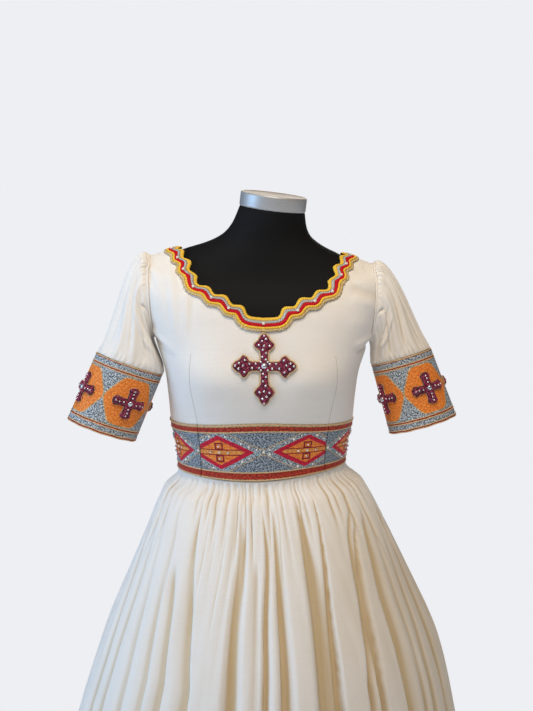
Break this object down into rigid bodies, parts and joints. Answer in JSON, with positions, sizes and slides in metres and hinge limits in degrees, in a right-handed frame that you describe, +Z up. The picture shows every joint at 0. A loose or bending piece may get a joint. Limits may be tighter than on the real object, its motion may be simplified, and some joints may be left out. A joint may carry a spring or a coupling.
{
  "type": "habesha kemis dress on a limbless dress form",
  "caption": "White gathered dress with an embroidered waistband, cuffs, scalloped neck trim and beaded crosses, worn by a limbless dress form on a pole and round base.",
  "frame": {"origin": "centre of the base's underside, on the floor", "axes": "+Z up along the pole, -Y the dress's front, +X the wearer's left"},
  "size_m": [0.8714, 0.8026, 1.5067],
  "materials": {
    "white_cotton": "matt, plain weave",
    "blue_grey_embroidery": "matt, covered with stitching",
    "scalloped_trim": "satin braid and lace",
    "crimson_beads": "glossy, sewn over with small beads",
    "black_cover": "matt knit, stretched",
    "grey_cap": "satin",
    "steel_pole": "brushed",
    "black_iron": "painted"
  },
  "bodies": {
    "root": {"bodice_front": "white_cotton", "bodice_back_left": "white_cotton", "bodice_back_right": "white_cotton", "neck_trim": "scalloped_trim", "chest_cross": "crimson_beads", "band_front": "blue_grey_embroidery", "band_side_front_left": "blue_grey_embroidery", "band_side_front_right": "blue_grey_embroidery", "band_back_left": "blue_grey_embroidery", "band_back_right": "blue_grey_embroidery", "sleeve_left": "white_cotton", "sleeve_right": "white_cotton", "cuff_left": "blue_grey_embroidery", "cuff_right": "blue_grey_embroidery", "cuff_cross_left_1": "crimson_beads", "cuff_cross_left_2": "crimson_beads", "cuff_cross_left_3": "crimson_beads", "cuff_cross_left_4": "crimson_beads", "cuff_cross_right_1": "crimson_beads", "cuff_cross_right_2": "crimson_beads", "cuff_cross_right_3": "crimson_beads", "cuff_cross_right_4": "crimson_beads", "skirt_front": "white_cotton", "skirt_back": "white_cotton", "form_torso": "black_cover", "form_neck_cap": "grey_cap", "form_pole": "steel_pole", "form_base": "black_iron"}
  },
  "joints": []
}
